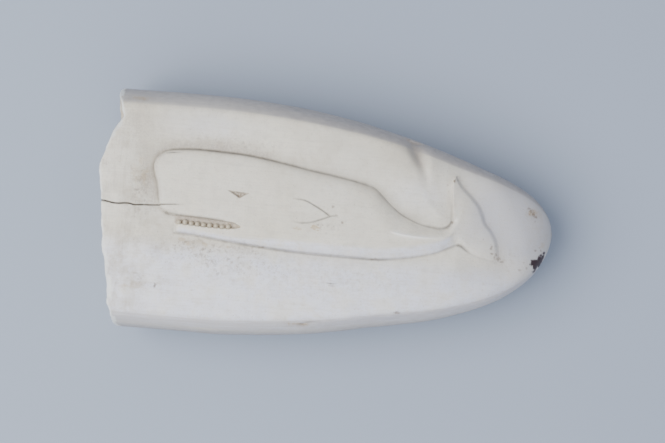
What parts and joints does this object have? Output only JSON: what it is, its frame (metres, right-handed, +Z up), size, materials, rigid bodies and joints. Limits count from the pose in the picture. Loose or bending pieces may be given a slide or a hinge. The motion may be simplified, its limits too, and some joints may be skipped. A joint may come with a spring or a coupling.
{
  "type": "scrimshaw whale tooth",
  "caption": "Whale tooth lying on its side, ground flat on top and carved in low relief with a sperm whale; broken root with an open pulp cavity.",
  "frame": {"origin": "centre of the bounding box, at the flat that the tooth lies on", "axes": "+X along the tooth from the broken root to the tip, +Y across it to the carved whale's back, +Z up out of the carved face"},
  "size_m": [0.131, 0.0694, 0.0367],
  "materials": {
    "ivory": "hand polished whale ivory, off-white, satin on the carved face, with grime in the cut lines and brown age stains"
  },
  "bodies": {
    "root": {"scrimshaw_tooth": "ivory"}
  },
  "joints": []
}
